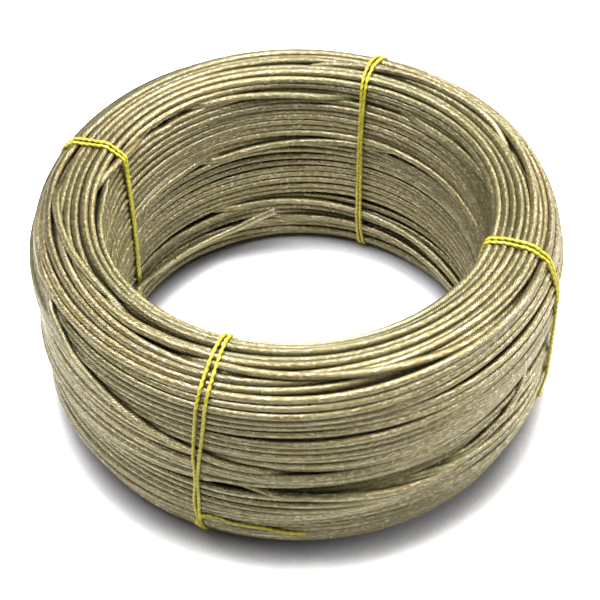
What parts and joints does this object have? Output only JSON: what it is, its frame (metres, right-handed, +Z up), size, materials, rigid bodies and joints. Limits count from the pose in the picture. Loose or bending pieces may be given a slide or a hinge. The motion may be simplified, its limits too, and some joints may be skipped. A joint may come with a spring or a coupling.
{
  "type": "coil of plastic-coated wire rope",
  "caption": "Coil of clear plastic-coated, gold-coloured wire rope lying flat, held by yellow plastic twine ties, with the rope's inner end lying in the bore.",
  "frame": {"origin": "centre of the coil on the floor it lies on, at the bottom of the bounding box", "axes": "+Z up along the coil's axis, -Y towards the side with the front tie, +X to the right of it"},
  "size_m": [0.35, 0.35, 0.1619],
  "materials": {
    "coated_rope": "clear glossy plastic coat over gold-coloured steel strands",
    "plastic_twine": "shiny yellow plastic twine"
  },
  "bodies": {
    "root": {"coil": "coated_rope", "free_end": "coated_rope", "tie_front": "plastic_twine", "tie_left": "plastic_twine", "tie_back": "plastic_twine", "tie_right": "plastic_twine"}
  },
  "joints": []
}
